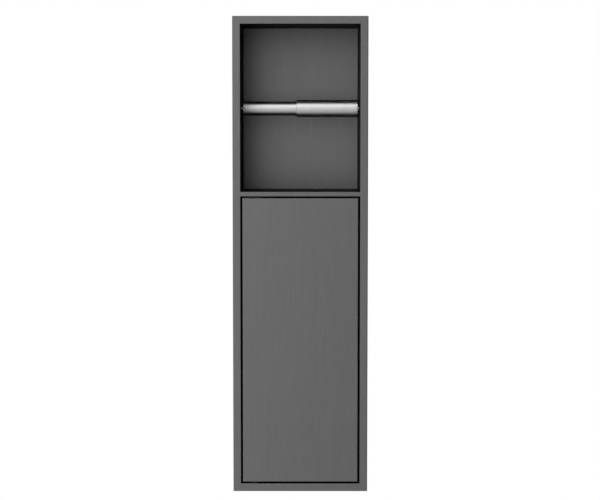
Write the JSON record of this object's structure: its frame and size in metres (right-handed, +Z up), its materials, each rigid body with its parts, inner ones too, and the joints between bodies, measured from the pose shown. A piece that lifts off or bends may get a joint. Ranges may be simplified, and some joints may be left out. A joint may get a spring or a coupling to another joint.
{
  "type": "recessed toilet paper holder",
  "caption": "Recessed gunmetal steel toilet paper niche with a spring-loaded telescoping spindle above a flush touch-latch door and storage cupboard.",
  "frame": {"origin": "middle of the face frame's rear side, on the plane of the finished wall", "axes": "+X to the viewer's right, +Y into the wall, +Z up; the front faces -Y"},
  "size_m": [0.17, 0.1024, 0.6],
  "materials": {
    "gunmetal": "satin",
    "dark_steel": "satin",
    "bright_steel": "satin",
    "spring_steel": "polished",
    "zinc_plate": "satin",
    "black_nylon": "matte",
    "grey_nylon": "satin",
    "clear_rubber": "satin",
    "magnet": "satin"
  },
  "bodies": {
    "cabinet": {"face_frame": "gunmetal", "housing_wrap": "gunmetal", "top_cap": "gunmetal", "bottom_cap": "gunmetal", "divider_shelf": "gunmetal", "spindle_socket_left": "bright_steel", "spindle_socket_right": "bright_steel", "upper_pivot_plate": "dark_steel", "upper_pivot_bush": "black_nylon", "pivot_plate_screws": "zinc_plate", "lower_pivot_bush": "black_nylon", "latch_bracket": "dark_steel", "latch_housing": "black_nylon", "latch_end_cap": "black_nylon", "latch_spring": "spring_steel", "latch_screws": "zinc_plate", "stop_angles": "dark_steel", "stop_bumpers": "clear_rubber"},
    "door": {"door_skin": "gunmetal", "door_backer": "dark_steel", "pivot_block_upper": "zinc_plate", "pivot_block_lower": "zinc_plate", "pivot_pin_upper": "bright_steel", "pivot_pin_lower": "bright_steel", "strike_plate": "zinc_plate", "strike_rivets": "zinc_plate"},
    "latch_plunger": {"latch_plunger": "grey_nylon", "latch_magnet": "magnet"},
    "spindle_sleeve": {"spindle_sleeve": "bright_steel", "sleeve_end_cap": "bright_steel", "guide_bush": "black_nylon", "spindle_spring": "spring_steel"},
    "spindle_inner": {"inner_tube": "bright_steel", "inner_end_plug": "bright_steel", "piston_plug": "black_nylon"}
  },
  "joints": [
    {"name": "door_hinge", "type": "hinge", "parent": "cabinet", "child": "door", "pos_m": [-0.059, 0.005, -0.1075], "axis": [0, 0, -1], "range_deg": [0, 105]},
    {"name": "latch_press", "type": "slide", "parent": "cabinet", "child": "latch_plunger", "axis": [0, 1, 0], "range_m": [0, 0.0025], "stiffness_N_per_m": 900, "springref_m": -0.004, "deforming": ["latch_spring"]},
    {"name": "spindle_spin", "type": "hinge", "parent": "cabinet", "child": "spindle_sleeve", "pos_m": [0, 0.043, 0.1855], "axis": [1, 0, 0], "continuous": true},
    {"name": "spindle_compress", "type": "slide", "parent": "spindle_sleeve", "child": "spindle_inner", "axis": [1, 0, 0], "range_m": [0, 0.012], "stiffness_N_per_m": 450, "springref_m": -0.012, "deforming": ["spindle_spring"]}
  ]
}
